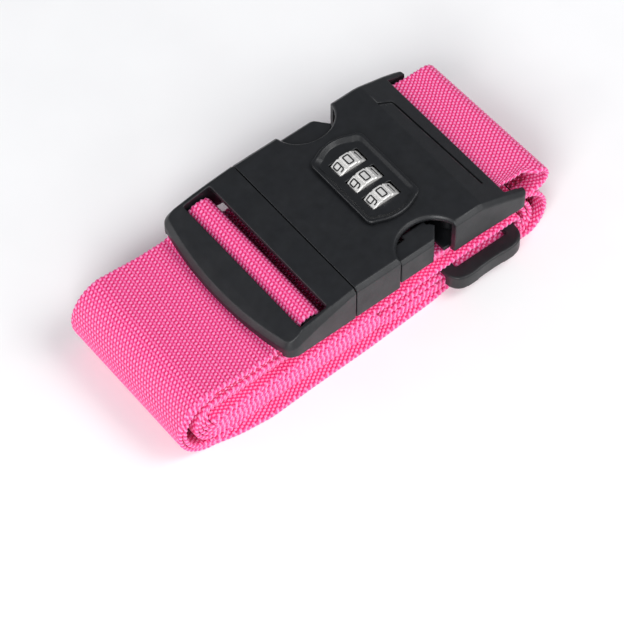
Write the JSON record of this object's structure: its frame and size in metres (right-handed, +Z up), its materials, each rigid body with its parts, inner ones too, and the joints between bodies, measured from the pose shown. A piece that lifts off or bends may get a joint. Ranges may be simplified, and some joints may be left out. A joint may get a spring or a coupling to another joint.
{
  "type": "luggage strap",
  "caption": "Folded webbing luggage strap with a side-release buckle, a combination dial lock and a tri-glide keeper.",
  "frame": {"origin": "middle of the footprint, on the surface that the folded strap lies on", "axes": "+X along the strap from the plug to the socket, +Y across the webbing, +Z up through the buckle"},
  "size_m": [0.1346, 0.0624, 0.0327],
  "materials": {
    "black_plastic": "fine-grained matte moulded plastic",
    "bezel_plastic": "satin black moulded plastic",
    "webbing": "hot pink ribbed polypropylene webbing",
    "dial_metal": "satin silver with black engraved digits",
    "steel": "plain bright steel"
  },
  "bodies": {
    "socket": {"socket_top_cover": "black_plastic", "socket_bottom_cover": "black_plastic", "dial_bezel": "bezel_plastic", "webbing_pin": "steel", "lock_chassis": "black_plastic", "detent_spring": "steel", "cover_screw_1": "steel", "cover_screw_2": "steel", "cover_screw_3": "steel", "cover_screw_4": "steel", "webbing_hank": "webbing", "webbing_outer_run": "webbing", "webbing_tail": "webbing", "webbing_socket_loop": "webbing", "shaft_spring": "steel", "blocker_spring": "steel"},
    "plug": {"plug_frame": "black_plastic", "webbing_plug_loop": "webbing"},
    "release_arm_near": {"release_arm_near": "black_plastic"},
    "release_arm_far": {"release_arm_far": "black_plastic"},
    "reset": {"dial_shaft": "steel", "reset_slider": "black_plastic"},
    "blocker": {"lock_blocker": "black_plastic"},
    "tri_glide": {"tri_glide": "black_plastic"},
    "dial_1": {"number_dial_1": "dial_metal", "cam_sleeve_1": "black_plastic"},
    "dial_2": {"number_dial_2": "dial_metal", "cam_sleeve_2": "black_plastic"},
    "dial_3": {"number_dial_3": "dial_metal", "cam_sleeve_3": "black_plastic"}
  },
  "joints": [
    {"name": "plug_release", "type": "slide", "parent": "socket", "child": "plug", "axis": [-1, 0, 0], "range_m": [0, 0.045], "deforming": ["release_arm_near", "release_arm_far"]},
    {"name": "release_arm_near_squeeze", "type": "hinge", "parent": "plug", "child": "release_arm_near", "pos_m": [-0.00536, -0.0212, 0.024], "axis": [0, 0, 1], "range_deg": [0, 8], "stiffness_Nm_per_rad": 0.3},
    {"name": "release_arm_far_squeeze", "type": "hinge", "parent": "plug", "child": "release_arm_far", "pos_m": [-0.00536, 0.025, 0.024], "axis": [0, 0, -1], "range_deg": [0, 8], "stiffness_Nm_per_rad": 0.3},
    {"name": "dial_1_turn", "type": "hinge", "parent": "socket", "child": "dial_1", "pos_m": [0.01939, 0.0093, 0.0264], "axis": [0, 1, 0], "continuous": true},
    {"name": "dial_2_turn", "type": "hinge", "parent": "socket", "child": "dial_2", "pos_m": [0.01939, 0.0019, 0.0264], "axis": [0, 1, 0], "continuous": true},
    {"name": "dial_3_turn", "type": "hinge", "parent": "socket", "child": "dial_3", "pos_m": [0.01939, -0.0055, 0.0264], "axis": [0, 1, 0], "continuous": true},
    {"name": "reset_slide", "type": "slide", "parent": "socket", "child": "reset", "axis": [0, 1, 0], "range_m": [0, 0.0012], "stiffness_N_per_m": 150, "deforming": ["shaft_spring"]},
    {"name": "blocker_slide", "type": "slide", "parent": "socket", "child": "blocker", "axis": [1, 0, 0], "range_m": [0, 0.0015], "stiffness_N_per_m": 150, "deforming": ["blocker_spring"]},
    {"name": "tri_glide_slide", "type": "slide", "parent": "socket", "child": "tri_glide", "axis": [-1, 0, 0], "range_m": [0, 0.018]}
  ]
}
